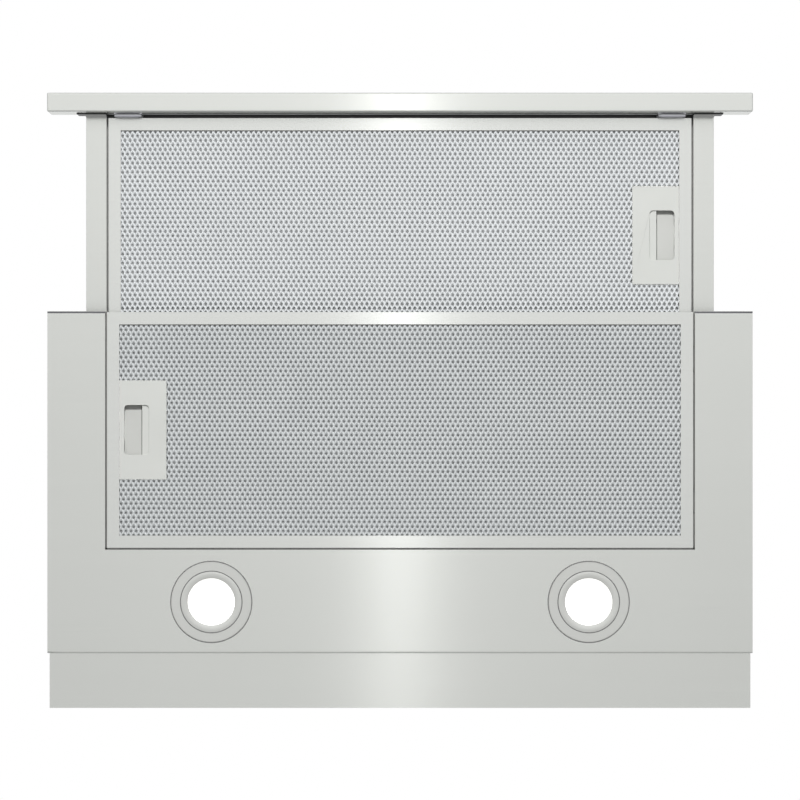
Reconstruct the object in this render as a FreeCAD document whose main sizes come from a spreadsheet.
"""Telescopic range hood, built in under a wall cabinet, with its visor pulled out.

Millimetres. X runs across the hood and is centred on it, -Y is the front and +Z is up.
Z = 0 is the face of the base flanges that meets the cabinet floor, and the origin is the
centre of the four cabinet screws.
"""
import FreeCAD
import Part
import Sketcher

import math
import os
import re

SIZES = {
    # Base pan
    "body_width": 598,
    "base_depth": 290,
    "base_height": 37,
    "metal": 1,
    "front_return": 14,
    "side_flat": 49,
    "lamp_zone": 87.8,
    "cabinet_hole_edge": 13,
    "cabinet_hole_end": 45,
    "cabinet_hole_radius": 2.5,
    # Crossbar over the front edge of the rear filter
    "bar_set_back": 5.5,
    "bar_depth": 9,
    "bar_clear": 0.3,
    "bar_headroom": 2,
    "bar_foot": 10,
    # Filler strip behind the base
    "strip_side_gap": 1.8,
    "strip_depth": 46.5,
    "strip_height": 20,
    "strip_rise": 1.5,
    "strip_screw_near": 80,
    "strip_screw_far": 230,
    # Casing above the base
    "casing_side_inset": 37,
    "casing_back_inset": 5,
    "casing_height": 162,
    "casing_set_back": 15,
    "casing_metal": 0.8,
    "casing_flange": 12,
    "casing_fit": 0.3,
    "lid_lip": 12,
    "bead_radius": 2.5,
    "bead_inset": 40,
    "bead_low": 50,
    "bead_high": 112,
    # Screws
    "screw_radius": 1.6,
    "screw_hole_fit": 0.2,
    "screw_length": 5,
    "screw_head_radius": 3.4,
    "screw_head": 1.8,
    # Front panel of the visor
    "panel_height": 41,
    "panel_depth": 16,
    "panel_radius": 1.2,
    "closed_gap": 1,
    "travel": 168,
    "visor_clear": 1.2,
    # Grease filters
    "filter_thick": 9.5,
    "filter_border": 10.5,
    "filter_metal": 1,
    "filter_gap": 1.5,
    "rear_filter_inset": 0.7,
    "front_filter_inset": 3.9,
    "mesh_fit": 0.2,
    "net_depth": 0.8,
    "net_strand": 3.2,
    "mesh_layer": 1.2,
    "mesh_top": 0.5,
    # Tabs that hook one end of a filter
    "tab_width": 20,
    "tab_spacing": 120,
    "tab_reach": 3.5,
    "tab_metal": 1.2,
    "tab_fit": 0.5,
    "curl_radius": 2,
    "curl_fit": 0.1,
    # Latch at the other end of a filter
    "grip_length": 40,
    "grip_width": 84,
    "grip_wall": 1.5,
    "recess_start": 4.2,
    "recess_length": 20.8,
    "recess_width": 42.2,
    "recess_radius": 3,
    "recess_depth": 6.5,
    "ridge_start": 19.2,
    "ridge_length": 10.8,
    "slider_width": 48,
    "slider_plate": 1.5,
    "bolt_throw": 4,
    "bolt_width": 16,
    "bolt_low": 5,
    "bolt_cover": 0.4,
    "latch_fit": 0.3,
    "spring_radius": 2,
    "spring_wire": 0.35,
    "spring_turns": 5,
    # Visor rails and their ball slides
    "rail_width": 17.5,
    "rail_height": 15,
    "rail_length": 254,
    "bumper_thick": 1.3,
    "bumper_side": 7.5,
    "bumper_drop": 9.2,
    "slide_depth": 10,
    "slide_metal": 1,
    "slide_clear": 0.3,
    "slide_inset": 1.5,
    "inner_slide_depth": 5,
    "inner_slide_height": 7,
    "ball_fit": 0.1,
    "ball_pitch": 16,
    "cage_metal": 0.4,
    "cage_length": 76,
    "bracket_length": 230,
    "bracket_metal": 1.2,
    "bracket_foot": 5,
    "rear_bar_depth": 8,
    "rear_bar_height": 8,
    "top_flange": 11,
    # Clips between the front panel and the visor
    "clip_inset": 6.5,
    "clip_width": 24,
    "clip_reach": 4.2,
    "clip_height": 12,
    "clip_drop": 0.8,
    "clip_hole_radius": 1.3,
    "clip_head_radius": 2.3,
    "clip_head": 1.2,
    # Push buttons on the front panel
    "control_inset": 28,
    "control_width": 92,
    "control_height": 17,
    "control_rim_width": 2,
    "control_wall": 2,
    "control_fit": 0.2,
    "button_margin": 2,
    "button_width": 13.4,
    "button_height": 8.6,
    "button_radius": 0.8,
    "button_proud": 0.2,
    "button_stem": 5.4,
    "button_collar": 1.2,
    "button_fit": 0.3,
    "button_travel": 1.5,
    "board_gap": 1.5,
    "board_thick": 1.6,
    "switch_height": 1.2,
    "switch_width": 6,
    # Lamps
    "lamp_x": 160,
    "lamp_inset": 43.5,
    "lamp_hole_radius": 30,
    "bezel_radius": 34.2,
    "bezel_bore": 26.3,
    "bezel_flange": 1,
    "bezel_neck": 12,
    "lamp_fit": 0.3,
    "lens_radius": 20.1,
    "lens_thick": 3,
    "lens_recess": 1.4,
    "trim_wall": 1.5,
    "trim_height": 8,
    "sink_height": 18,
    "sink_fin": 2,
    # Fan
    "fan_y": 42,
    "fan_z": 70,
    "wheel_radius": 54,
    "wheel_width": 116,
    "wheel_plate": 3,
    "wheel_ring": 4,
    "blade_count": 32,
    "blade_depth": 11,
    "blade_lean": 4,
    "blade_thick": 1.4,
    "hub_radius": 11,
    "hub_length": 22,
    "shaft_radius": 4,
    "shaft_fit": 0.05,
    "shaft_end_gap": 0.5,
    "tongue_gap": 4,
    "scroll_growth": 17,
    "scroll_wall": 2,
    "wheel_side_gap": 7,
    "outlet_depth": 90,
    "inlet_radius": 46,
    "motor_radius": 36,
    "motor_length": 47,
    "spider_metal": 2.5,
    "spider_arm": 12,
    "spider_ring": 10,
    "capacitor_radius": 15,
    "capacitor_length": 62,
    "capacitor_x": 90,
    "capacitor_drop": 15.2,
    # Duct collar and its flaps
    "collar_radius": 75,
    "collar_wall": 2,
    "collar_height": 40,
    "collar_flange": 11,
    "collar_plate": 2,
    "flap_seat": 5,
    "flap_thick": 1.5,
    "flap_clear": 0.3,
    "flap_pin_radius": 1.2,
    "flap_pin_x": 4,
    "flap_pin_hold": 1,
    "flap_eye_radius": 2.4,
    "flap_eye_length": 120,
    "flap_play": 2,
    # Electrics
    "box_side_gap": 22,
    "box_width": 100,
    "box_depth": 70,
    "box_height": 48,
    "box_wall": 2,
    "box_back_gap": 9,
    "gland_radius": 9,
    "gland_neck": 6.8,
    "gland_bore": 3.6,
    "gland_flange": 3,
    # Length by which a cutting tool passes a face
    "past": 1,
}

# Sizes that follow from the ones above, because their pieces fit in or line up with others
FITTED = {
    "filter_length": "body_width - 2 * (side_flat + filter_gap)",
    "filter_depth": "base_depth - lamp_zone - rear_filter_inset - filter_gap",
    "cabinet_hole_x": "body_width / 2 - cabinet_hole_edge",
    "cabinet_hole_y": "base_depth / 2 - cabinet_hole_end",
    "strip_width": "body_width - 2 * strip_side_gap",
    "casing_width": "body_width - 2 * casing_side_inset",
    "casing_depth": "base_depth - casing_set_back - casing_back_inset",
    "clip_inner": "body_width / 2 - side_flat - clip_inset - clip_width",
    "control_x": "body_width / 2 - control_inset - control_width / 2",
    "button_pitch": "(control_width - 2 * button_margin) / 4",
    "lamp_y": "base_depth / 2 - lamp_inset",
    "tongue_radius": "wheel_radius + tongue_gap",
    "scroll_front": "wheel_radius + tongue_gap + scroll_growth",
    "scroll_width": "wheel_width + 2 * wheel_side_gap",
    "box_x": "body_width / 2 - casing_side_inset - box_side_gap - box_width",
}

doc = FreeCAD.newDocument("telescopic_range_hood")
sheet = doc.addObject("Spreadsheet::Sheet", "sizes")
for row, (alias, number) in enumerate(SIZES.items(), start=1):
    sheet.set(f"A{row}", alias.replace("_", " "))
    sheet.set(f"B{row}", str(number))
    sheet.setAlias(f"B{row}", alias)

WORD = re.compile(r"[a-z][a-z_0-9]*")
NODES = []

# Places that several pieces share, as expressions in the sheet's aliases
HALF_WIDTH = "(body_width / 2)"
BASE_FRONT = "(-base_depth / 2)"
BASE_BACK = "(base_depth / 2)"
FLOOR = "(-base_height)"
FLOOR_TOP = "(-base_height + metal)"
OPENING = "(filter_length / 2 + filter_gap)"
REAR_FILTER_Y = f"({BASE_FRONT} + rear_filter_inset + filter_depth / 2)"
OPENING_BACK = f"({REAR_FILTER_Y} + filter_depth / 2 + filter_gap)"
PANEL_BACK = f"({BASE_FRONT} - closed_gap - travel)"
PANEL_FRONT = f"({PANEL_BACK} - panel_depth)"
FRONT_FILTER_Y = f"({PANEL_BACK} + front_filter_inset + filter_depth / 2)"
FRONT_FILTER_BACK = f"({FRONT_FILTER_Y} + filter_depth / 2)"
CASING_UNDER = "(-metal - casing_metal)"
VISOR_TOP = f"({CASING_UNDER} - visor_clear)"
VISOR_FLOOR = f"({VISOR_TOP} - rail_height)"
RAIL_OUT = f"({OPENING} + rail_width)"
RAIL_WEB = f"({RAIL_OUT} - inner_slide_depth)"
CASING_FRONT = f"({BASE_FRONT} + casing_set_back)"
CASING_BACK = f"({CASING_FRONT} + casing_depth)"
LID_UNDER = "(casing_height - casing_metal)"
SCREW_HOLE = "(screw_radius + screw_hole_fit)"
BOLT_HIGH = "(recess_depth + slider_plate)"
CURL_HEIGHT = "(metal + curl_radius + curl_fit)"
OUTLET_Y = "(fan_y - scroll_front + outlet_depth / 2)"


def source_of(word):
    """A word of an expression, with the object that holds it when it is a size."""
    if word in SIZES:
        return f"sizes.{word}"
    return f"fitted.{word}" if word in FITTED else word


def bound(text):
    """An expression whose sizes point at the sheet or at the fitted sizes."""
    return WORD.sub(lambda word: source_of(word[0]), text)


fitted = doc.addObject("App::FeaturePython", "fitted")
for name, text in FITTED.items():
    fitted.addProperty("App::PropertyFloat", name)
    fitted.setExpression(name, bound(text))
doc.recompute()


def size(alias):
    """A size as a number."""
    return float(getattr(fitted, alias) if alias in FITTED else sheet.get(alias))


def place(thing, x="0", y="0", z="0"):
    """Binds the position of a piece."""
    for letter, text in zip("xyz", (x, y, z)):
        thing.setExpression(f"Placement.Base.{letter}", bound(text))
    return thing


def node(thing, label):
    """Names a finished sub-part."""
    thing.Label = label
    NODES.append(thing)
    return thing


def about(middle, half):
    """The span that reaches a half width to each side of a middle."""
    return (f"({middle}) - ({half})", f"({middle}) + ({half})")


def span(start, length):
    """The span of a given length from its start."""
    return (start, f"({start}) + ({length})")


def sided(side, inner, outer):
    """The span from an inner to an outer distance, on the left (-1) or the right (1)."""
    return (inner, outer) if side > 0 else (f"-({outer})", f"-({inner})")


def block(x, y, z):
    """A box between two places along each axis."""
    box = doc.addObject("Part::Box", "block")
    for edge, (low, high) in zip(("Length", "Width", "Height"), (x, y, z)):
        box.setExpression(edge, bound(f"({high}) - ({low})"))
    return place(box, x[0], y[0], z[0])


def rod(axis, radius, x, y, z):
    """A cylinder along one axis, where that axis has a span and the others a place."""
    cylinder = doc.addObject("Part::Cylinder", "rod")
    heading = {"x": FreeCAD.Vector(1, 0, 0), "y": FreeCAD.Vector(0, 1, 0), "z": FreeCAD.Vector(0, 0, 1)}[axis]
    turn = FreeCAD.Rotation(FreeCAD.Vector(0, 0, 1), heading)
    cylinder.Placement = FreeCAD.Placement(FreeCAD.Vector(), turn)
    low, high = {"x": x, "y": y, "z": z}[axis]
    cylinder.setExpression("Radius", bound(radius))
    cylinder.setExpression("Height", bound(f"({high}) - ({low})"))
    starts = [low if letter == axis else where for letter, where in zip("xyz", (x, y, z))]
    return place(cylinder, *starts)


def ball(radius, x, y, z):
    """A sphere at a place."""
    sphere = doc.addObject("Part::Sphere", "ball")
    sphere.setExpression("Radius", bound(radius))
    return place(sphere, x, y, z)


def fuse(pieces):
    """One solid of pieces that overlap or touch."""
    whole = doc.addObject("Part::MultiFuse", "whole")
    whole.Shapes = pieces
    whole.Refine = True
    return whole


def cut(body, tools):
    """A body less its tools."""
    rest = doc.addObject("Part::Cut", "rest")
    rest.Base = body
    rest.Tool = tools[0] if len(tools) == 1 else fuse(tools)
    return rest


def group(pieces):
    """Separate solids that share one node."""
    several = doc.addObject("Part::Compound", "several")
    several.Links = pieces
    return several


def body_named(label):
    """An empty body for sketched features."""
    return doc.addObject("PartDesign::Body", label)


def sketch_on(body, role, rise="0"):
    """An empty sketch on one of the body's own origin planes, or parallel to it."""
    sketch = body.newObject("Sketcher::SketchObject", "outline")
    plane = next(feature for feature in body.Origin.OriginFeatures if feature.Role == role)
    sketch.AttachmentSupport = [(plane, "")]
    sketch.MapMode = "FlatFace"
    sketch.setExpression("AttachmentOffset.Base.z", bound(rise))
    return sketch


def measure(sketch, kind, *where, text):
    """A dimension of a sketch, bound to an expression."""
    index = sketch.addConstraint(Sketcher.Constraint(kind, *where, 1.0))
    sketch.setExpression(f"Constraints[{index}]", bound(text))


def draw_corners(sketch, corners):
    """A closed outline with straight sides, each corner measured from the sketch's origin."""
    first = sketch.GeometryCount
    count = len(corners)
    turns = [math.tau * k / count for k in range(count)]
    start = [FreeCAD.Vector(math.cos(turn), math.sin(turn), 0) for turn in turns]
    for k in range(count):
        sketch.addGeometry(Part.LineSegment(start[k], start[(k + 1) % count]))
    for k in range(count):
        sketch.addConstraint(Sketcher.Constraint("Coincident", first + k, 2, first + (k + 1) % count, 1))
    for k, (across, up) in enumerate(corners):
        measure(sketch, "DistanceX", -1, 1, first + k, 1, text=across)
        measure(sketch, "DistanceY", -1, 1, first + k, 1, text=up)


def draw_box(sketch, across, up):
    """A rectangle between two spans."""
    draw_corners(sketch, [(across[0], up[0]), (across[1], up[0]), (across[1], up[1]), (across[0], up[1])])


def draw_ring(sketch, radii):
    """Circles about the sketch's origin."""
    for radius in radii:
        circle = sketch.addGeometry(Part.Circle(FreeCAD.Vector(), FreeCAD.Vector(0, 0, 1), 1))
        sketch.addConstraint(Sketcher.Constraint("Coincident", circle, 3, -1, 1))
        measure(sketch, "Radius", circle, text=radius)


def pad(body, sketch, length, both_ways=False, backwards=False):
    """A sketch made solid."""
    feature = body.newObject("PartDesign::Pad", "pad")
    feature.Profile = sketch
    feature.Midplane = both_ways
    feature.Reversed = backwards
    feature.setExpression("Length", bound(length))
    body.Tip = feature
    return feature


def turned(label, profile, axis):
    """A body of revolution about Z (profile of radius, height) or about X (profile of length, radius)."""
    body = body_named(label)
    sketch = sketch_on(body, "XZ_Plane")
    draw_corners(sketch, profile)
    feature = body.newObject("PartDesign::Revolution", "turn")
    feature.Profile = sketch
    turn_about = {"z": "V_Axis", "x": "H_Axis"}[axis]
    feature.ReferenceAxis = (sketch, [turn_about])
    feature.Angle = 360
    return body


def polar(body, feature, sketch, count):
    """Copies of a feature about the normal of its sketch."""
    pattern = body.newObject("PartDesign::PolarPattern", "around")
    pattern.Originals = [feature]
    pattern.Axis = (sketch, ["N_Axis"])
    pattern.Angle = 360
    pattern.setExpression("Occurrences", bound(count))
    body.Tip = pattern


def rounded(body, radius, wanted):
    """Rounds the edges of a body's last feature that a test picks."""
    doc.recompute()
    base = body.Tip
    names = [f"Edge{k}" for k, edge in enumerate(base.Shape.Edges, start=1) if wanted(edge)]
    feature = body.newObject("PartDesign::Fillet", "round")
    feature.Base = (base, names)
    feature.setExpression("Radius", bound(radius))
    body.Tip = feature
    return body


def upright(edge):
    """True for an edge along Z."""
    box = edge.BoundBox
    return box.XLength + box.YLength < box.ZLength * 0.001


def screw(axis, way, x, y, z):
    """A pan-head screw whose head stands on the given face, with its shank going the other way."""
    seat = {"x": x, "y": y, "z": z}[axis]
    head = (seat, f"{seat} + screw_head") if way > 0 else (f"{seat} - screw_head", seat)
    shank = (f"{seat} - screw_length", seat) if way > 0 else (seat, f"{seat} + screw_length")
    spans = {"x": x, "y": y, "z": z}
    return fuse([
        rod(axis, "screw_head_radius", **{**spans, axis: head}),
        rod(axis, "screw_radius", **{**spans, axis: shank}),
    ])


# Base pan, crossbar and filler strip
STRIP_SCREWS_X = ("-strip_screw_far", "-strip_screw_near", "strip_screw_near", "strip_screw_far")
STRIP_SCREW_Z = f"({FLOOR} + strip_rise + strip_height / 2)"


def latch_slot(side, middle, floor):
    """Cuts the way of a filter's bolt through an upright sheet beside the filter."""
    return block(
        sided(side, f"{OPENING} - filter_gap / 2", f"{OPENING} + metal + past"),
        about(middle, "bolt_width / 2 + latch_fit"),
        (f"{floor} + bolt_low - latch_fit", f"{floor} + {BOLT_HIGH} + latch_fit"),
    )


def tab_slots(side, middle, floor):
    """Cuts the ways of a filter's two tabs through an upright sheet beside the filter."""
    top = f"{floor} + {CURL_HEIGHT} + curl_radius + tab_metal + tab_fit"
    return [
        block(
            sided(side, f"{OPENING} - filter_gap / 2", f"{OPENING} + metal + past"),
            about(f"{middle} + {way} * tab_spacing / 2", "tab_width / 2 + tab_fit"),
            (f"{floor} + metal", top),
        )
        for way in (-1, 1)
    ]


def base_pan():
    """Folded sheet: floor with the filter opening, lips, walls, cabinet flanges and front returns."""
    whole_width = about("0", HALF_WIDTH)
    whole_depth = (BASE_FRONT, BASE_BACK)
    lip = (FLOOR, f"{FLOOR} + filter_thick")
    height = (FLOOR, "0")
    sheets = [
        block(whole_width, whole_depth, (FLOOR, FLOOR_TOP)),
        block(whole_width, (f"{BASE_BACK} - metal", BASE_BACK), height),
        block(whole_width, (f"{CASING_BACK} + casing_fit", BASE_BACK), ("-metal", "0")),
        block(about("0", f"{OPENING} + metal"), (OPENING_BACK, f"{OPENING_BACK} + metal"), lip),
    ]
    for side in (-1, 1):
        sheets += [
            block(sided(side, f"{HALF_WIDTH} - metal", HALF_WIDTH), whole_depth, height),
            block(sided(side, "casing_width / 2 + casing_fit", HALF_WIDTH), whole_depth, ("-metal", "0")),
            block(sided(side, f"{HALF_WIDTH} - front_return", HALF_WIDTH), span(BASE_FRONT, "metal"), height),
            block(sided(side, OPENING, f"{OPENING} + metal"), (BASE_FRONT, f"{OPENING_BACK} + metal"), lip),
        ]
    through_floor = (f"{FLOOR} - past", f"{FLOOR_TOP} + past")
    holes = [block(about("0", OPENING), (f"{BASE_FRONT} - past", OPENING_BACK), through_floor)]
    holes += [latch_slot(-1, REAR_FILTER_Y, FLOOR)] + tab_slots(1, REAR_FILTER_Y, FLOOR)
    for side in (-1, 1):
        holes.append(rod("z", "lamp_hole_radius", f"{side} * lamp_x", "lamp_y", through_floor))
        for end in (-1, 1):
            x = f"{side} * cabinet_hole_x"
            y = f"{end} * cabinet_hole_y"
            holes.append(rod("z", "cabinet_hole_radius", x, y, ("-metal - past", "past")))
    rear_wall = (f"{BASE_BACK} - metal - past", f"{BASE_BACK} + past")
    holes += [rod("y", SCREW_HOLE, x, rear_wall, STRIP_SCREW_Z) for x in STRIP_SCREWS_X]
    return node(cut(fuse(sheets), holes), "base_pan")


def front_crossbar():
    """Channel that ties the two sides of the base together above the rear filter's front edge."""
    depth = (f"{BASE_FRONT} + bar_set_back", f"{BASE_FRONT} + bar_set_back + bar_depth")
    inside = (f"{depth[0]} + metal", f"{depth[1]} - metal")
    under = f"({FLOOR} + filter_thick + bar_clear)"
    top = f"({VISOR_FLOOR} - bar_headroom)"
    leg = f"({OPENING} + metal + bar_clear)"
    channel = cut(
        block(about("0", f"{leg} + metal"), depth, (under, top)),
        [block(about("0", f"{leg} + metal + past"), inside, (f"{under} - past", f"{top} - metal"))],
    )
    feet = []
    for side in (-1, 1):
        feet += [
            block(sided(side, leg, f"{leg} + metal"), depth, (FLOOR_TOP, top)),
            block(sided(side, leg, f"{leg} + bar_foot"), depth, (FLOOR_TOP, f"{FLOOR_TOP} + metal")),
        ]
    return node(fuse([channel] + feet), "front_crossbar")


def filler_strip():
    """Tray that closes the gap between the base and the wall."""
    low = f"({FLOOR} + strip_rise)"
    tray = block(about("0", "strip_width / 2"), span(BASE_BACK, "strip_depth"), span(low, "strip_height"))
    inside = block(
        about("0", "strip_width / 2 - metal"),
        (f"{BASE_BACK} + metal", f"{BASE_BACK} + strip_depth - metal"),
        (f"{low} + metal", f"{low} + strip_height + past"),
    )
    wall = (f"{BASE_BACK} - past", f"{BASE_BACK} + metal + past")
    holes = [rod("y", SCREW_HOLE, x, wall, STRIP_SCREW_Z) for x in STRIP_SCREWS_X]
    return node(cut(tray, [inside] + holes), "filler_strip")


# Casing
LID_SCREWS_Y = (f"({CASING_FRONT} + casing_depth / 6)", f"({CASING_FRONT} + casing_depth * 5 / 6)")
LID_SCREW_Z = f"({LID_UNDER} - lid_lip / 2)"
LIP_FACE = "(casing_width / 2 - casing_metal)"


def lid_screw_holes():
    """Holes through the casing's sides and the lip of its lid."""
    inner = f"{LIP_FACE} - casing_metal - past"
    outer = "casing_width / 2 + past"
    spans = [sided(side, inner, outer) for side in (-1, 1)]
    return [rod("x", SCREW_HOLE, across, y, LID_SCREW_Z) for across in spans for y in LID_SCREWS_Y]


def casing_shell():
    """Four walls with pressed beads, flanged out below the base's cabinet flanges."""
    walls = [block(about("0", "casing_width / 2"), (CASING_FRONT, CASING_BACK), (CASING_UNDER, LID_UNDER))]
    for z in ("bead_low", "bead_high"):
        for y in (CASING_FRONT, CASING_BACK):
            walls.append(rod("x", "bead_radius", about("0", "casing_width / 2 - bead_inset"), y, z))
    inside = block(
        about("0", LIP_FACE),
        (f"{CASING_FRONT} + casing_metal", f"{CASING_BACK} - casing_metal"),
        (f"{CASING_UNDER} - past", f"{LID_UNDER} + past"),
    )
    flange_height = (CASING_UNDER, f"{CASING_UNDER} + casing_metal")
    flanges = [block(about("0", "casing_width / 2"), (BASE_FRONT, CASING_FRONT), flange_height)]
    for side in (-1, 1):
        flange = sided(side, "casing_width / 2", "casing_width / 2 + casing_flange")
        flanges.append(block(flange, (CASING_FRONT, CASING_BACK), flange_height))
    shell = fuse([cut(fuse(walls), [inside])] + flanges)
    return node(cut(shell, lid_screw_holes()), "casing_shell")


def casing_top():
    """Lid with a lip that fits inside the walls, and holes for the outlet and the gland."""
    plate = block(about("0", "casing_width / 2"), (CASING_FRONT, CASING_BACK), (LID_UNDER, "casing_height"))
    lip_depth = (f"{CASING_FRONT} + casing_metal", f"{CASING_BACK} - casing_metal")
    lip = block(about("0", LIP_FACE), lip_depth, (f"{LID_UNDER} - lid_lip", LID_UNDER))
    hollow = block(
        about("0", f"{LIP_FACE} - casing_metal"),
        (f"{lip_depth[0]} + casing_metal", f"{lip_depth[1]} - casing_metal"),
        (f"{LID_UNDER} - lid_lip - past", LID_UNDER),
    )
    through = (f"{LID_UNDER} - past", "casing_height + past")
    holes = [
        rod("z", "collar_radius - collar_wall - flap_seat", "0", OUTLET_Y, through),
        rod("z", "gland_neck + screw_hole_fit", GLAND_X, GLAND_Y, through),
    ]
    holes += [rod("z", SCREW_HOLE, x, y, through) for x, y in collar_screw_places()]
    return node(cut(fuse([plate, cut(lip, [hollow])]), holes + lid_screw_holes()), "casing_top")


def hood_screws():
    """Screws of the lid, of the duct collar and of the filler strip."""
    screws = [
        screw("x", side, f"{side} * casing_width / 2", y, LID_SCREW_Z)
        for side in (-1, 1)
        for y in LID_SCREWS_Y
    ]
    screws += [screw("z", 1, x, y, "(casing_height + collar_plate)") for x, y in collar_screw_places()]
    screws += [screw("y", 1, x, f"{BASE_BACK} + metal", STRIP_SCREW_Z) for x in STRIP_SCREWS_X]
    return node(group(screws), "hood_screws")


# Visor
def front_panel():
    """Folded front with rounded edges, open behind, with a window for the buttons."""
    body = body_named("panel_block")
    sketch = sketch_on(body, "XZ_Plane")
    draw_box(sketch, about("0", HALF_WIDTH), ("-panel_height", "0"))
    pad(body, sketch, "panel_depth", backwards=True)
    rounded(body, "panel_radius", lambda edge: True)
    place(body, y=PANEL_FRONT)
    hollow = block(
        about("0", f"{HALF_WIDTH} - metal"),
        (f"{PANEL_FRONT} + metal", f"{PANEL_BACK} + past"),
        ("-panel_height + metal", "-metal"),
    )
    window = block(
        about("control_x", "control_width / 2 - control_rim_width + control_fit"),
        (f"{PANEL_FRONT} - past", f"{PANEL_FRONT} + metal + past"),
        about("-panel_height / 2", "control_height / 2 - control_rim_width + control_fit"),
    )
    return node(cut(body, [hollow, window]), "front_panel")


def panel_back():
    """Sheet that closes the back of the front panel."""
    inside = about("0", f"{HALF_WIDTH} - metal")
    depth = (f"{PANEL_BACK} - metal", PANEL_BACK)
    return node(block(inside, depth, ("-panel_height + metal", "-metal")), "panel_back")


def visor_rail(side, label):
    """Channel, open above, that carries one end of the front filter, with a floor that hides the slide."""
    length = (f"{PANEL_BACK} + bumper_thick", f"{PANEL_BACK} + rail_length")
    rail_floor = block(sided(side, OPENING, RAIL_OUT), length, (VISOR_FLOOR, f"{VISOR_FLOOR} + metal"))
    channel = fuse([block(sided(side, OPENING, RAIL_WEB), length, (VISOR_FLOOR, VISOR_TOP)), rail_floor])
    hollow = block(
        sided(side, f"{OPENING} + metal", f"{RAIL_WEB} - metal"),
        (f"{length[0]} - past", f"{length[1]} + past"),
        (f"{VISOR_FLOOR} + metal", f"{VISOR_TOP} + past"),
    )
    if side > 0:
        slots = [latch_slot(side, FRONT_FILTER_Y, VISOR_FLOOR)]
    else:
        slots = tab_slots(side, FRONT_FILTER_Y, VISOR_FLOOR)
    return node(cut(channel, [hollow] + slots), label)


def visor_top():
    """Sheet over the front filter, turned down against the front panel."""
    width = about("0", OPENING)
    back = f"{FRONT_FILTER_BACK} + filter_gap + rear_bar_depth"
    top = block(width, (PANEL_BACK, back), (f"{VISOR_TOP} - casing_metal", VISOR_TOP))
    flange = block(width, span(PANEL_BACK, "casing_metal"), (f"{VISOR_TOP} - top_flange", VISOR_TOP))
    return node(fuse([top, flange]), "visor_top")


def visor_rear_bar():
    """Angle that joins the rails behind the front filter."""
    front = f"{FRONT_FILTER_BACK} + filter_gap"
    width = about("0", OPENING)
    floor = block(width, span(front, "rear_bar_depth"), span(VISOR_FLOOR, "metal"))
    wall = block(width, span(front, "metal"), span(VISOR_FLOOR, "rear_bar_height"))
    return node(fuse([floor, wall]), "visor_rear_bar")


def panel_brackets():
    """Two plated angles behind the front panel, and the screws through their upright legs."""
    low = f"({VISOR_TOP} - top_flange - clip_height)"
    angles = []
    screws = []
    for side in (-1, 1):
        across = sided(side, "clip_inner", "clip_inner + clip_width")
        middle = f"{side} * (clip_inner + clip_width / 2)"
        upright_leg = block(across, span(PANEL_BACK, "bracket_metal"), span(low, "clip_height"))
        foot = block(across, span(PANEL_BACK, "clip_reach"), span(low, "bracket_metal"))
        through_foot = (f"{low} - past", f"{low} + bracket_metal + past")
        through_leg = (f"{PANEL_BACK} - past", f"{PANEL_BACK} + bracket_metal + past")
        holes = []
        for way in (-1, 1):
            foot_x = f"{middle} + {way} * (clip_width / 2 - clip_reach / 2)"
            foot_y = f"{PANEL_BACK} + bracket_metal + (clip_reach - bracket_metal) / 2"
            holes.append(rod("z", "clip_hole_radius", foot_x, foot_y, through_foot))
            leg_x = f"{middle} + {way} * clip_width / 4"
            leg_z = f"({low} + clip_height / 2 + clip_drop)"
            holes.append(rod("y", SCREW_HOLE, leg_x, through_leg, leg_z))
            shank = rod("y", "screw_radius", leg_x, span(PANEL_BACK, "bracket_metal"), leg_z)
            head_y = span(f"{PANEL_BACK} + bracket_metal", "clip_head")
            head = rod("y", "clip_head_radius", leg_x, head_y, leg_z)
            screws.append(fuse([head, shank]))
        angles.append(cut(fuse([upright_leg, foot]), holes))
    node(group(angles), "panel_brackets")
    node(group(screws), "bracket_screws")


def rail_bumpers():
    """Dark strips on the back of the front panel, between it and the ends of the rails."""
    depth = span(PANEL_BACK, "bumper_thick")
    height = (f"{VISOR_FLOOR} - bumper_drop", VISOR_TOP)
    stops = [block(sided(side, OPENING, f"{RAIL_OUT} + bumper_side"), depth, height) for side in (-1, 1)]
    return node(group(stops), "rail_bumpers")


# Ball slides
SLIDE_HEIGHT = "(rail_height - metal - slide_clear)"
SLIDE_MIDDLE = f"({VISOR_TOP} - {SLIDE_HEIGHT} / 2)"
BALL_GAP = f"(({SLIDE_HEIGHT} - 2 * slide_metal - inner_slide_height) / 2)"
BALL_RISE = f"(inner_slide_height / 2 + {BALL_GAP} / 2)"
BALL_X = f"({RAIL_WEB} + inner_slide_depth * 7 / 10)"
CAGE_OUT = f"({RAIL_WEB} + inner_slide_depth + 4 * cage_metal)"
SLIDE_FRONT = f"({BASE_FRONT} + slide_inset)"
CAGE_MIDDLE = f"(({SLIDE_FRONT} + {PANEL_BACK} + rail_length) / 2)"
BALL_COUNT = 5


def slide_outer(side, label):
    """Fixed channel, open towards the visor."""
    length = (SLIDE_FRONT, f"{SLIDE_FRONT} + rail_length")
    across = sided(side, f"{RAIL_WEB} + inner_slide_depth / 2", f"{RAIL_WEB} + slide_depth")
    channel = block(across, length, about(SLIDE_MIDDLE, f"{SLIDE_HEIGHT} / 2"))
    hollow = block(
        sided(side, RAIL_WEB, f"{RAIL_WEB} + slide_depth - slide_metal"),
        (f"{length[0]} - past", f"{length[1]} + past"),
        about(SLIDE_MIDDLE, f"{SLIDE_HEIGHT} / 2 - slide_metal"),
    )
    return node(cut(channel, [hollow]), label)


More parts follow.
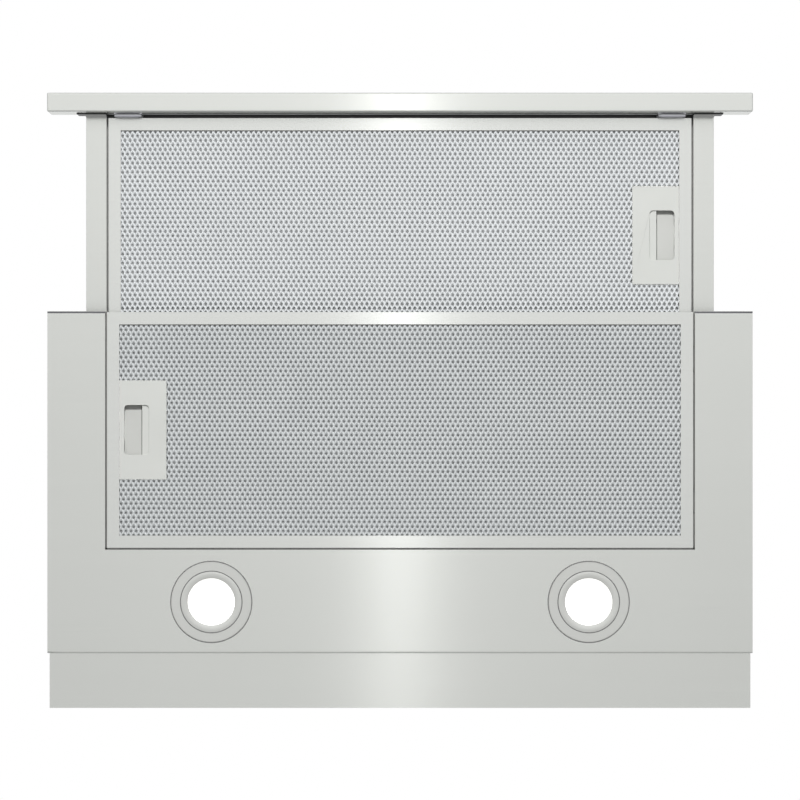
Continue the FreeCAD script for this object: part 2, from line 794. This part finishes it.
def slide_inner(side, label):
    """Channel on the rail, open outwards."""
    length = (f"{PANEL_BACK} + bumper_thick", f"{PANEL_BACK} + rail_length")
    across = sided(side, RAIL_WEB, f"{RAIL_WEB} + inner_slide_depth")
    channel = block(across, length, about(SLIDE_MIDDLE, "inner_slide_height / 2"))
    hollow = block(
        sided(side, f"{RAIL_WEB} + slide_metal", f"{RAIL_WEB} + inner_slide_depth + past"),
        (f"{length[0]} - past", f"{length[1]} + past"),
        about(SLIDE_MIDDLE, "inner_slide_height / 2 - slide_metal"),
    )
    return node(cut(channel, [hollow]), label)


def ball_cage(side, label):
    """Strip that keeps two rows of balls between the slide members, and runs at half their speed."""
    length = about(CAGE_MIDDLE, "cage_length / 2")
    height = about(SLIDE_MIDDLE, f"{BALL_RISE} + cage_metal / 2")
    pieces = [block(sided(side, f"{CAGE_OUT} - cage_metal", CAGE_OUT), length, height)]
    for way in (-1, 1):
        row = f"({SLIDE_MIDDLE} + {way} * {BALL_RISE})"
        leg = sided(side, f"{RAIL_WEB} + slide_metal + cage_metal", CAGE_OUT)
        pieces.append(block(leg, length, about(row, "cage_metal / 2")))
        for k in range(BALL_COUNT):
            along = f"{CAGE_MIDDLE} + {k - BALL_COUNT // 2} * ball_pitch"
            pieces.append(ball(f"{BALL_GAP} / 2 - ball_fit", f"{side} * {BALL_X}", along, row))
    return node(fuse(pieces), label)


def slide_brackets():
    """Angles that stand on the base's floor and carry the outer slide members."""
    angles = []
    for side in (-1, 1):
        inner = f"({RAIL_WEB} + slide_depth)"
        length = span(f"{SLIDE_FRONT} + bar_set_back + bar_depth", "bracket_length")
        wall = block(sided(side, inner, f"{inner} + bracket_metal"), length, (FLOOR_TOP, VISOR_TOP))
        foot = block(sided(side, inner, f"{inner} + bracket_foot"), length, span(FLOOR_TOP, "bracket_metal"))
        angles.append(fuse([wall, foot]))
    return node(group(angles), "slide_brackets")


# Control
CONTROL_Z = "(-panel_height / 2)"
BUTTON_PLACES = (-1.5, -0.5, 0.5, 1.5)
BOARD_FRONT = f"({PANEL_FRONT} + button_stem + button_travel + board_gap + switch_height)"


def button_x(place_along):
    """Where a button sits along the control."""
    return f"(control_x + {place_along} * button_pitch)"


def control_bezel():
    """Plate level with the front panel, with a rim behind its sheet and posts that carry the board."""
    rim = block(
        about("control_x", "control_width / 2"),
        (f"{PANEL_FRONT} + metal", f"{PANEL_FRONT} + control_wall"),
        about(CONTROL_Z, "control_height / 2"),
    )
    plug = block(
        about("control_x", "control_width / 2 - control_rim_width"),
        (PANEL_FRONT, f"{PANEL_FRONT} + control_wall"),
        about(CONTROL_Z, "control_height / 2 - control_rim_width"),
    )
    pieces = [rim, plug]
    for side in (-1, 1):
        post = f"control_x + {side} * (control_width - 3 * control_rim_width) / 2"
        depth = (f"{PANEL_FRONT} + control_wall / 2", BOARD_FRONT)
        post_z = about(CONTROL_Z, "control_height / 4")
        pieces.append(block(about(post, "control_rim_width / 2"), depth, post_z))
    holes = [
        block(
            about(button_x(k), "button_width / 2 + button_fit"),
            (f"{PANEL_FRONT} - past", f"{PANEL_FRONT} + control_wall + past"),
            about(CONTROL_Z, "button_height / 2 + button_fit"),
        )
        for k in BUTTON_PLACES
    ]
    return node(cut(fuse(pieces), holes), "control_bezel")


def control_board():
    """Circuit board with one switch behind each button."""
    pieces = [
        block(
            about("control_x", "control_width / 2 - control_rim_width"),
            (BOARD_FRONT, f"{BOARD_FRONT} + board_thick"),
            about(CONTROL_Z, "control_height / 2 - control_rim_width"),
        )
    ]
    depth = (f"{BOARD_FRONT} - switch_height", BOARD_FRONT)
    height = about(CONTROL_Z, "switch_width / 2")
    pieces += [block(about(button_x(k), "switch_width / 2"), depth, height) for k in BUTTON_PLACES]
    return node(fuse(pieces), "control_board")


def push_button(k, label):
    """Rounded cap with a collar that stops it behind the bezel."""
    body = body_named("cap")
    sketch = sketch_on(body, "XZ_Plane")
    draw_box(sketch, about("0", "button_width / 2"), about("0", "button_height / 2"))
    pad(body, sketch, "button_proud + button_stem", backwards=True)
    rounded(body, "button_radius", lambda edge: edge.BoundBox.YMax < size("button_proud"))
    place(body, button_x(k), f"{PANEL_FRONT} - button_proud", CONTROL_Z)
    behind = f"({PANEL_FRONT} + control_wall + button_fit)"
    collar = block(
        about(button_x(k), "button_width / 2 + button_collar"),
        (behind, f"{behind} + button_collar"),
        about(CONTROL_Z, "button_height / 2 + button_collar"),
    )
    return node(fuse([body, collar]), label)


# Grease filters, drawn about their own middle with the latch towards -X, underside at Z = 0
GRIP_X = "(-filter_length / 2 + filter_border)"
CAVITY_TOP = "(filter_thick - filter_metal)"
NET_COLUMNS = 24
NET_ROWS = 12


def filter_frame():
    """Channel frame with two curled tabs at the hooked end and a slot for the bolt at the other."""
    outer = block(about("0", "filter_length / 2"), about("0", "filter_depth / 2"), ("0", "filter_thick"))
    window = block(
        about("0", "filter_length / 2 - filter_border"),
        about("0", "filter_depth / 2 - filter_border"),
        ("-past", "filter_thick + past"),
    )
    channel = block(
        about("0", "filter_length / 2 - filter_metal"),
        about("0", "filter_depth / 2 - filter_metal"),
        ("filter_metal", CAVITY_TOP),
    )
    slot = block(
        ("-filter_length / 2 - past", "-filter_length / 2 + filter_metal + past"),
        about("0", "bolt_width / 2 + latch_fit"),
        ("bolt_low - latch_fit", f"{BOLT_HIGH} + latch_fit"),
    )
    pieces = [cut(outer, [window, channel, slot])]
    for way in (-1, 1):
        width = about(f"{way} * tab_spacing / 2", "tab_width / 2")
        curl_x = "(filter_length / 2 + tab_reach)"
        tab_x = ("filter_length / 2 - filter_metal", curl_x)
        pieces.append(block(tab_x, width, span(CURL_HEIGHT, "tab_metal")))
        pieces.append(rod("y", "curl_radius", curl_x, width, CURL_HEIGHT))
    return fuse(pieces)


def filter_mesh():
    """Expanded metal, let out for the latch: a face sheet with diamond gaps, its backing, the upper sheet."""
    edge_x = size("filter_length") / 2 - size("filter_metal") - size("mesh_fit")
    edge_y = size("filter_depth") / 2 - size("filter_metal") - size("mesh_fit")
    grip_start = -size("filter_length") / 2 + size("filter_border") - size("mesh_fit")
    grip_end = grip_start + size("grip_length") + 2 * size("mesh_fit")
    grip_y = size("grip_width") / 2 + size("mesh_fit")
    way_y = size("bolt_width") / 2 + size("latch_fit")
    corners = [(-edge_x, -edge_y), (edge_x, -edge_y), (edge_x, edge_y), (-edge_x, edge_y)]
    for side in (1, -1):
        notch = [(-edge_x, way_y), (grip_start, way_y), (grip_start, grip_y), (grip_end, grip_y)]
        corners += [(x, side * y) for x, y in notch[::side]]

    def outline(points, z):
        wire = [FreeCAD.Vector(x, y, z) for x, y in points]
        return Part.makePolygon(wire + wire[:1])

    low = size("filter_metal")
    pitch_x = 2 * (size("filter_length") / 2 - size("filter_border")) / NET_COLUMNS
    pitch_y = 2 * (size("filter_depth") / 2 - size("filter_border")) / NET_ROWS
    half_x = (pitch_x - size("net_strand")) / 2
    half_y = (pitch_y - size("net_strand")) / 2
    gaps = []
    for column in range(NET_COLUMNS):
        for row_of_net in range(NET_ROWS):
            x = (column + 0.5 - NET_COLUMNS / 2) * pitch_x
            y = (row_of_net + 0.5 - NET_ROWS / 2) * pitch_y
            if x - half_x < grip_end + half_x and abs(y) - half_y < grip_y + half_y:
                continue
            gaps.append(outline([(x - half_x, y), (x, y - half_y), (x + half_x, y), (x, y + half_y)], low))
    holed = Part.makeFace([outline(corners, low)] + gaps, "Part::FaceMakerBullseye")
    net = holed.extrude(FreeCAD.Vector(0, 0, size("net_depth")))
    sheets = [net]
    high = size("filter_thick") - size("filter_metal")
    starts = {"mesh_layer": low + size("net_depth"), "mesh_top": high - size("mesh_top")}
    for alias, start in starts.items():
        sheets.append(Part.Face(outline(corners, start)).extrude(FreeCAD.Vector(0, 0, size(alias))))
    mesh = doc.addObject("Part::Feature", "mesh")
    mesh.Shape = Part.makeCompound(sheets)
    return mesh


def filter_grip():
    """Moulded latch housing, level with the frame's underside, with a rounded window for a finger."""
    box = block(
        (GRIP_X, f"{GRIP_X} + grip_length"), about("0", "grip_width / 2"), ("0", CAVITY_TOP)
    )
    hollow = block(
        (f"{GRIP_X} + grip_wall", f"{GRIP_X} + grip_length - grip_wall"),
        about("0", "grip_width / 2 - grip_wall"),
        ("grip_wall", f"{CAVITY_TOP} + past"),
    )
    window = body_named("finger_window")
    sketch = sketch_on(window, "XY_Plane")
    draw_box(sketch, ("0", "recess_length"), about("0", "recess_width / 2"))
    pad(window, sketch, "grip_wall + 2 * past")
    rounded(window, "recess_radius", upright)
    place(window, f"{GRIP_X} + recess_start", "0", "-past")
    bolt_way = block(
        (f"{GRIP_X} - past", f"{GRIP_X} + grip_wall + past"),
        about("0", "bolt_width / 2 + latch_fit"),
        ("bolt_low - latch_fit", f"{BOLT_HIGH} + latch_fit"),
    )
    plate_way = block(
        (f"{GRIP_X} - past", f"{GRIP_X} + grip_wall + past"),
        about("0", "slider_width / 2 + latch_fit"),
        ("recess_depth - latch_fit", f"{CAVITY_TOP} + past"),
    )
    return cut(box, [hollow, window, bolt_way, plate_way])


def filter_latch():
    """Slider, drawn back: plate under the whole finger recess, push ridge and bolt."""
    plate_start = f"({GRIP_X} + bolt_throw)"
    slider_end = f"({GRIP_X} + ridge_start + ridge_length)"
    ridge_low = "(grip_wall + latch_fit * 2 / 3)"
    tip = "(-filter_length / 2 + bolt_cover)"
    width = about("0", "slider_width / 2")
    plate = block((plate_start, slider_end), width, ("recess_depth", BOLT_HIGH))
    ridge = block((f"{GRIP_X} + ridge_start", slider_end), width, (ridge_low, BOLT_HIGH))
    bolt = block((tip, plate_start), about("0", "bolt_width / 2"), ("bolt_low", BOLT_HIGH))
    return fuse([plate, ridge, bolt])


def latch_spring():
    """Coil between the slider and the inner wall of its housing."""
    wire = size("spring_wire")
    start = -size("filter_length") / 2 + size("filter_border") + size("ridge_start") + size("ridge_length")
    room = size("grip_length") - size("grip_wall") - size("ridge_start") - size("ridge_length")
    length = room - 2 * wire - size("latch_fit")
    helix = Part.makeHelix(length / size("spring_turns"), length, size("spring_radius"))
    section = Part.makeCircle(wire, FreeCAD.Vector(size("spring_radius"), 0, 0), FreeCAD.Vector(0, 1, 0))
    coil = Part.Wire(helix.Edges).makePipeShell([Part.Wire([section])], True, True)
    coil.rotate(FreeCAD.Vector(), FreeCAD.Vector(0, 1, 0), 90)
    rise = (size("grip_wall") + size("filter_thick") - size("filter_metal")) / 2
    coil.translate(FreeCAD.Vector(start + wire + size("latch_fit") / 2, 0, rise))
    spring = doc.addObject("Part::Feature", "spring")
    spring.Shape = Part.makeCompound([coil])
    return spring


def grease_filter(prefix, middle_y, floor, turn):
    """The five pieces of one filter, turned about Z and set in place."""
    makers = {
        "filter_frame": filter_frame,
        "filter_mesh": filter_mesh,
        "filter_grip": filter_grip,
        "latch": filter_latch,
        "latch_spring": latch_spring,
    }
    for name, make in makers.items():
        piece = make()
        piece.Placement = FreeCAD.Placement(FreeCAD.Vector(), FreeCAD.Rotation(FreeCAD.Vector(0, 0, 1), turn))
        node(place(piece, "0", middle_y, floor), f"{prefix}_{name}")


# Lamps, drawn about their own axis with the base's underside at Z = 0
TRIM_OUT = "(bezel_bore - lamp_fit)"
TRIM_BORE = "(lens_radius + lamp_fit)"
SINK_TOP = "(trim_height + sink_height)"
SINK_FINS = 4


def lamp_bezel():
    """Flange with a chamfered rim, and a neck through the hole in the base."""
    neck = "lamp_hole_radius - lamp_fit"
    return turned("bezel", [
        ("bezel_bore", "-bezel_flange"),
        ("bezel_radius - bezel_flange / 2", "-bezel_flange"),
        ("bezel_radius", "-bezel_flange / 2"),
        ("bezel_radius", "0"),
        (neck, "0"),
        (neck, "bezel_neck"),
        ("bezel_bore", "bezel_neck"),
    ], "z")


def lamp_trim():
    """Ring that slopes up from the bezel to the lens."""
    return turned("trim", [
        (TRIM_BORE, "lens_recess"),
        (TRIM_OUT, "-bezel_flange"),
        (TRIM_OUT, "trim_height"),
        (f"{TRIM_OUT} - trim_wall", "trim_height"),
        (f"{TRIM_OUT} - trim_wall", "lens_recess + lens_thick"),
        (TRIM_BORE, "lens_recess + lens_thick"),
    ], "z")


def lamp_lens():
    """Frosted disc in the trim ring."""
    low, high = span("lens_recess", "lens_thick")
    return turned("lens", [("0", low), ("lens_radius", low), ("lens_radius", high), ("0", high)], "z")


def lamp_sink():
    """Turned heat sink with round fins, standing on the trim ring."""
    profile = [("0", "trim_height"), (TRIM_OUT, "trim_height")]
    pitch = f"((sink_height - sink_fin) / {SINK_FINS})"
    core = f"({TRIM_OUT} / 2)"
    for k in range(SINK_FINS):
        fin_top = f"trim_height + {k} * {pitch} + sink_fin"
        profile += [(TRIM_OUT, fin_top), (core, fin_top), (core, f"trim_height + {k + 1} * {pitch}")]
        profile += [(TRIM_OUT, f"trim_height + {k + 1} * {pitch}")]
    profile += [(TRIM_OUT, SINK_TOP), ("0", SINK_TOP)]
    return turned("sink", profile, "z")


def lamps():
    """Bezel, trim and lens of each lamp, and both heat sinks."""
    sinks = []
    for side, word in ((-1, "left"), (1, "right")):
        for name, make in (("lamp_bezel", lamp_bezel), ("lamp_trim", lamp_trim), ("lamp_lens", lamp_lens)):
            node(place(make(), f"{side} * lamp_x", "lamp_y", FLOOR), f"{name}_{word}")
        sinks.append(place(lamp_sink(), f"{side} * lamp_x", "lamp_y", FLOOR))
    node(group(sinks), "lamp_heat_sinks")


# Fan, drawn about its axle, which runs along X
SPIDER_OUT = "(scroll_width / 2 + scroll_wall + spider_metal)"
MOTOR_BACK = "(-scroll_width / 2 - scroll_wall)"
MOTOR_STEP = "(motor_radius / 6)"
SPIDER_ARMS = 3
SCROLL_ARCS = 3


def scroll_half(side):
    """Half of the spiral housing: arcs of even growth from the tongue to the front, then straight up."""
    top = size("casing_height") - size("casing_metal") - size("fan_z")

    def outline(grow, height, x):
        inner = size("tongue_radius") + grow
        outer = size("scroll_front") + grow
        back = size("outlet_depth") - size("scroll_front") + grow
        tongue_angle = math.acos(back / inner)
        sweep = tongue_angle + math.pi
        points = []
        for k in range(2 * SCROLL_ARCS + 1):
            share = k / (2 * SCROLL_ARCS)
            radius = inner + (outer - inner) * share
            angle = tongue_angle - sweep * share
            points.append(FreeCAD.Vector(x, radius * math.cos(angle), radius * math.sin(angle)))
        edges = [Part.Arc(*points[2 * k:2 * k + 3]).toShape() for k in range(SCROLL_ARCS)]
        corners = [points[-1], FreeCAD.Vector(x, -outer, height), FreeCAD.Vector(x, back, height), points[0]]
        edges += [Part.makeLine(corners[k], corners[k + 1]) for k in range(3)]
        return Part.Face(Part.Wire(edges))

    wall = size("scroll_wall")
    half = size("scroll_width") / 2
    shell = outline(wall, top, 0).extrude(FreeCAD.Vector(side * (half + wall), 0, 0))
    inside = outline(0, top + wall, -side * wall).extrude(FreeCAD.Vector(side * (half + wall), 0, 0))
    inlet = Part.makeCylinder(size("inlet_radius"), 2 * half, FreeCAD.Vector(), FreeCAD.Vector(side, 0, 0))
    feature = doc.addObject("Part::Feature", "scroll")
    feature.Shape = shell.cut(inside).cut(inlet)
    return feature


def fan_wheel():
    """Double-inlet wheel: hub, middle plate, leaning blades and two end rings."""
    body = body_named("wheel")
    disc = sketch_on(body, "YZ_Plane")
    draw_ring(disc, ("wheel_radius", "shaft_radius"))
    pad(body, disc, "wheel_plate", both_ways=True)
    hub = sketch_on(body, "YZ_Plane")
    draw_ring(hub, ("hub_radius", "shaft_radius"))
    pad(body, hub, "hub_length", both_ways=True)
    blade = sketch_on(body, "YZ_Plane")
    tip = "(wheel_radius - blade_thick)"
    root = "(wheel_radius - blade_depth)"
    lean, lean_end = span("blade_lean", "blade_thick")
    draw_corners(blade, [(root, "0"), (tip, lean), (tip, lean_end), (root, "blade_thick")])
    blades = pad(body, blade, "wheel_width", both_ways=True)
    doc.recompute()
    polar(body, blades, blade, "blade_count")
    for end in (-1, 1):
        ring = sketch_on(body, "YZ_Plane", f"{end} * (wheel_width - wheel_ring) / 2")
        draw_ring(ring, ("wheel_radius", f"{root} + blade_depth / 4"))
        pad(body, ring, "wheel_ring", both_ways=True)
    return body


def motor_bracket():
    """Spider over one inlet: ring on the scroll, arms and the plate that the motor stands on."""
    body = body_named("spider")
    rise = f"-{SPIDER_OUT}"
    ring = sketch_on(body, "YZ_Plane", rise)
    draw_ring(ring, ("inlet_radius + spider_ring", "inlet_radius"))
    pad(body, ring, "spider_metal")
    arm = sketch_on(body, "YZ_Plane", rise)
    draw_box(arm, ("motor_radius / 2", "inlet_radius + spider_ring / 2"), about("0", "spider_arm / 2"))
    arms = pad(body, arm, "spider_metal")
    doc.recompute()
    polar(body, arms, arm, str(SPIDER_ARMS))
    plate = sketch_on(body, "YZ_Plane", rise)
    draw_ring(plate, ("motor_radius * 3 / 4",))
    pad(body, plate, "spider_metal")
    return body


def fan_motor():
    """Motor can with stepped ends and a blind bore for the shaft."""
    front = f"({MOTOR_BACK} + motor_length)"
    bore = "(shaft_radius + shaft_fit)"
    return turned("motor", [
        (MOTOR_BACK, "0"),
        (MOTOR_BACK, f"motor_radius - {MOTOR_STEP}"),
        (f"{MOTOR_BACK} + {MOTOR_STEP}", "motor_radius"),
        (f"{front} - {MOTOR_STEP}", "motor_radius"),
        (front, f"motor_radius - {MOTOR_STEP}"),
        (front, bore),
        (f"{MOTOR_BACK} + {MOTOR_STEP}", bore),
        (f"{MOTOR_BACK} + {MOTOR_STEP}", "0"),
    ], "x")


def fan():
    """Scroll, wheel, shaft, motor and bracket about the axle, and the motor's capacitor."""
    shaft_span = (f"{MOTOR_BACK} + {MOTOR_STEP} + shaft_end_gap", "hub_length / 2 + spider_metal")
    node(rod("x", "shaft_radius", shaft_span, "fan_y", "fan_z"), "fan_shaft")
    pieces = {
        "scroll_left": scroll_half(-1),
        "scroll_right": scroll_half(1),
        "fan_wheel": fan_wheel(),
        "fan_motor": fan_motor(),
        "motor_bracket": motor_bracket(),
    }
    for label, piece in pieces.items():
        node(place(piece, "0", "fan_y", "fan_z"), label)
    capacitor = turned("capacitor", [
        ("0", "0"),
        ("0", "capacitor_radius - casing_metal"),
        ("casing_metal", "capacitor_radius"),
        ("capacitor_length", "capacitor_radius"),
        ("capacitor_length", "capacitor_radius / 3"),
        ("capacitor_length + capacitor_radius / 3", "capacitor_radius / 3"),
        ("capacitor_length + capacitor_radius / 3", "0"),
    ], "x")
    back = f"{CASING_BACK} - casing_metal - capacitor_radius - casing_fit"
    height = f"{LID_UNDER} - box_height - box_wall - capacitor_drop - capacitor_radius"
    node(place(capacitor, "capacitor_x", back, height), "capacitor")


# Duct collar, drawn about its own axis with the casing's lid at Z = 0
COLLAR_BORE = "(collar_radius - collar_wall)"
FLAP_LOW = "(casing_height + collar_plate + flap_clear)"
FLAP_PIN_Z = f"({FLAP_LOW} + flap_eye_radius)"


def collar_screw_places():
    """Four places on the diagonals of the collar's flange."""
    reach = "(collar_radius + collar_flange / 2) * sqrt(2) / 2"
    return [(f"{a} * {reach}", f"{OUTLET_Y} + {b} * {reach}") for a in (-1, 1) for b in (-1, 1)]


def duct_collar():
    """Spigot that the duct slides over, with holes for the pins of the flaps."""
    ring = turned("collar", [
        (COLLAR_BORE, "collar_plate"),
        ("collar_radius", "collar_plate"),
        ("collar_radius", "collar_height"),
        (COLLAR_BORE, "collar_height"),
    ], "z")
    place(ring, "0", OUTLET_Y, "casing_height")
    return node(cut(ring, [flap_pin(side) for side in (-1, 1)]), "duct_collar")


def collar_flange():
    """Plate under the spigot, screwed to the lid, with a seat and a bar for the flaps."""
    ring = turned("flange", [
        (f"{COLLAR_BORE} - flap_seat", "0"),
        ("collar_radius + collar_flange", "0"),
        ("collar_radius + collar_flange", "collar_plate"),
        (f"{COLLAR_BORE} - flap_seat", "collar_plate"),
    ], "z")
    place(ring, "0", OUTLET_Y, "casing_height")
    bar = block(
        about("0", "flap_pin_x + flap_eye_radius"),
        about(OUTLET_Y, f"{COLLAR_BORE} - flap_seat / 2"),
        ("casing_height", "casing_height + collar_plate"),
    )
    through = ("casing_height - past", "casing_height + collar_plate + past")
    holes = [rod("z", SCREW_HOLE, x, y, through) for x, y in collar_screw_places()]
    return node(cut(fuse([ring, bar]), holes), "collar_flange")


def flap_pin(side):
    """Rod that a flap swings on, let into the collar's wall at both ends."""
    length = about(OUTLET_Y, f"{COLLAR_BORE} + flap_pin_hold")
    return rod("y", "flap_pin_radius", f"{side} * flap_pin_x", length, FLAP_PIN_Z)


def outlet_flap(side, label):
    """Half disc with an eye along its straight edge."""
    height = span(FLAP_LOW, "flap_thick")
    disc = rod("z", f"{COLLAR_BORE} - flap_play", "0", OUTLET_Y, height)
    half = block(sided(side, "flap_pin_x", "collar_radius"), about(OUTLET_Y, "collar_radius"), height)
    leaf = doc.addObject("Part::Common", "leaf")
    leaf.Base = disc
    leaf.Tool = half
    eye_x = f"{side} * flap_pin_x"
    eye = rod("y", "flap_eye_radius", eye_x, about(OUTLET_Y, "flap_eye_length / 2"), FLAP_PIN_Z)
    bore = rod("y", "flap_pin_radius + shaft_fit", eye_x, about(OUTLET_Y, "collar_radius"), FLAP_PIN_Z)
    return node(cut(fuse([leaf, eye]), [bore]), label)


# Electrics
BOX_BACK = f"({CASING_BACK} - box_back_gap)"
GLAND_X = "(box_x + box_width / 2)"
GLAND_Y = f"({BOX_BACK} - box_depth / 2)"


def electronics_box():
    """Moulded box under the casing's lid, with its cover below."""
    across = ("box_x", "box_x + box_width")
    depth = (f"{BOX_BACK} - box_depth", BOX_BACK)
    low = f"({LID_UNDER} - box_height)"
    shell = block(across, depth, (low, LID_UNDER))
    hollow = block(
        ("box_x + box_wall", "box_x + box_width - box_wall"),
        (f"{depth[0]} + box_wall", f"{depth[1]} - box_wall"),
        (f"{low} - past", f"{LID_UNDER} - box_wall"),
    )
    through = (f"{LID_UNDER} - box_wall - past", f"{LID_UNDER} + past")
    hole = rod("z", "gland_neck + screw_hole_fit", GLAND_X, GLAND_Y, through)
    node(cut(shell, [hollow, hole]), "electronics_box")
    node(block(across, depth, (f"{low} - box_wall", low)), "electronics_cover")


def cable_gland():
    """Grommet that grips the lid and the box, with a bore for the mains lead."""
    neck_low = "(-casing_metal - box_wall)"
    gland = turned("gland", [
        ("gland_bore", f"{neck_low} - gland_flange"),
        ("gland_radius", f"{neck_low} - gland_flange"),
        ("gland_radius", neck_low),
        ("gland_neck", neck_low),
        ("gland_neck", "0"),
        ("gland_radius", "0"),
        ("gland_radius - gland_flange / 2", "gland_flange"),
        ("gland_bore", "gland_flange"),
    ], "z")
    return node(place(gland, GLAND_X, GLAND_Y, "casing_height"), "cable_gland")


def build():
    """Every sub-part of the hood."""
    base_pan()
    front_crossbar()
    filler_strip()
    casing_shell()
    casing_top()
    hood_screws()
    front_panel()
    panel_back()
    visor_top()
    visor_rear_bar()
    panel_brackets()
    rail_bumpers()
    slide_brackets()
    for side, word in ((-1, "left"), (1, "right")):
        visor_rail(side, f"visor_rail_{word}")
        slide_outer(side, f"slide_outer_{word}")
        slide_inner(side, f"slide_inner_{word}")
        ball_cage(side, f"ball_cage_{word}")
        outlet_flap(side, f"outlet_flap_{word}")
    control_bezel()
    control_board()
    for number, k in enumerate(BUTTON_PLACES, start=1):
        push_button(k, f"push_button_{number}")
    grease_filter("rear", REAR_FILTER_Y, FLOOR, 0)
    grease_filter("front", FRONT_FILTER_Y, VISOR_FLOOR, 180)
    lamps()
    fan()
    duct_collar()
    collar_flange()
    node(group([flap_pin(side) for side in (-1, 1)]), "flap_pins")
    electronics_box()
    cable_gland()


def check_and_write():
    """Stops on any object that failed or any sub-part without a valid shape, then writes the parts."""
    doc.recompute()
    failed = [thing.Label for thing in doc.Objects if {"Invalid", "Error"} & set(thing.State)]
    bad = [thing.Label for thing in NODES if thing.Shape.isNull() or not thing.Shape.isValid()]
    if failed or bad:
        raise RuntimeError(f"failed objects {failed}, bad shapes {bad}")
    os.makedirs("parts", exist_ok=True)
    for thing in NODES:
        thing.Shape.exportStep(f"parts/{thing.Label}.step")
    print(len(NODES), "sub-parts written")


build()
check_and_write()
